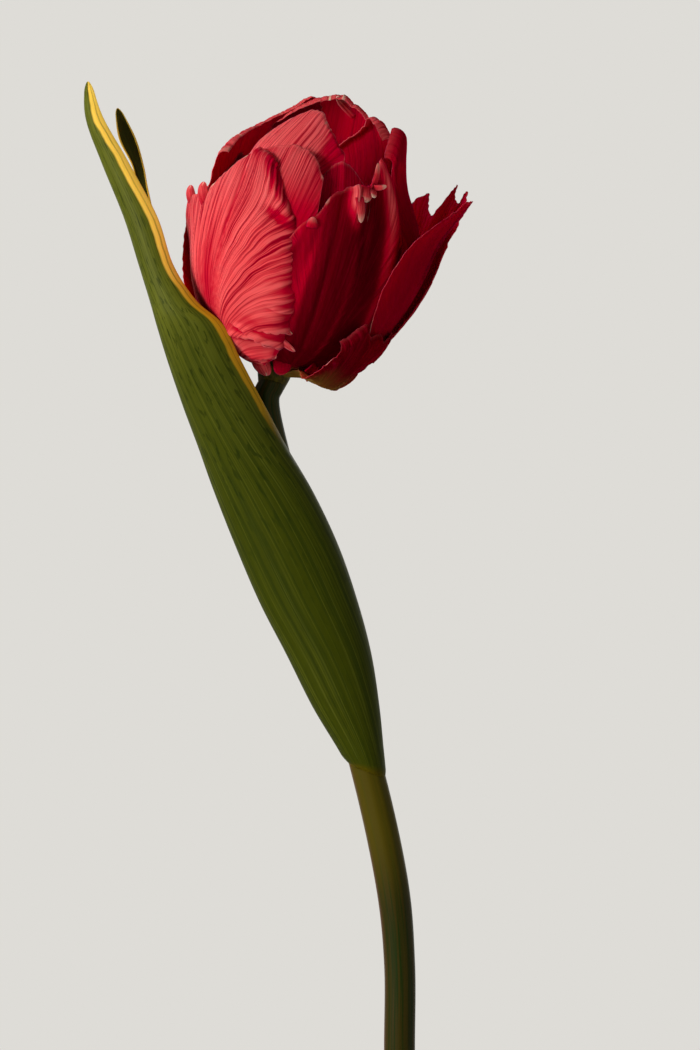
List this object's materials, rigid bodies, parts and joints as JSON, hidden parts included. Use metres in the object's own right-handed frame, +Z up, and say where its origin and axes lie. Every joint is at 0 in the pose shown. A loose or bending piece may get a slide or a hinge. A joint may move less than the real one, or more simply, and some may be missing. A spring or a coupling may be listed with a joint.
{
  "type": "cut tulip flower",
  "caption": "A lifelike cut double tulip: curved stem, two clasping green leaves with yellow margins and an upright cup of ruffled red petals round a pistil and stamens",
  "frame": {"origin": "centre of the stem's cut end", "axes": "+Z up the stem, viewer of the picture towards -Y, +X to the viewer's right"},
  "size_m": [0.0975, 0.0581, 0.29],
  "materials": {
    "petal": "fresh petal, satin, fine lengthwise veins",
    "leaf": "fresh leaf, waxy bloom, parallel veins, yellow margin",
    "stem": "fresh stem, smooth, satin",
    "pistil": "pale green, smooth",
    "stigma": "pale yellow, downy",
    "filament": "pale yellow-green, smooth",
    "anther": "dark, matte, dusty"
  },
  "bodies": {
    "root": {"stem": "stem", "receptacle": "stem", "leaf_front": "leaf", "leaf_back": "leaf", "outer_petal_left": "petal", "outer_petal_front": "petal", "outer_petal_flared": "petal", "outer_petal_toothed": "petal", "outer_petal_back": "petal", "outer_petal_back_left": "petal", "outer_petal_low": "petal", "middle_petal_front": "petal", "middle_petal_right": "petal", "middle_petal_back_left": "petal", "inner_petal_front": "petal", "inner_petal_left": "petal", "inner_petal_back": "petal", "inner_petal_back_right": "petal", "ovary": "pistil", "stigma": "stigma", "filament_1": "filament", "anther_1": "anther", "filament_2": "filament", "anther_2": "anther", "filament_3": "filament", "anther_3": "anther", "filament_4": "filament", "anther_4": "anther", "filament_5": "filament", "anther_5": "anther", "filament_6": "filament", "anther_6": "anther"}
  },
  "joints": []
}
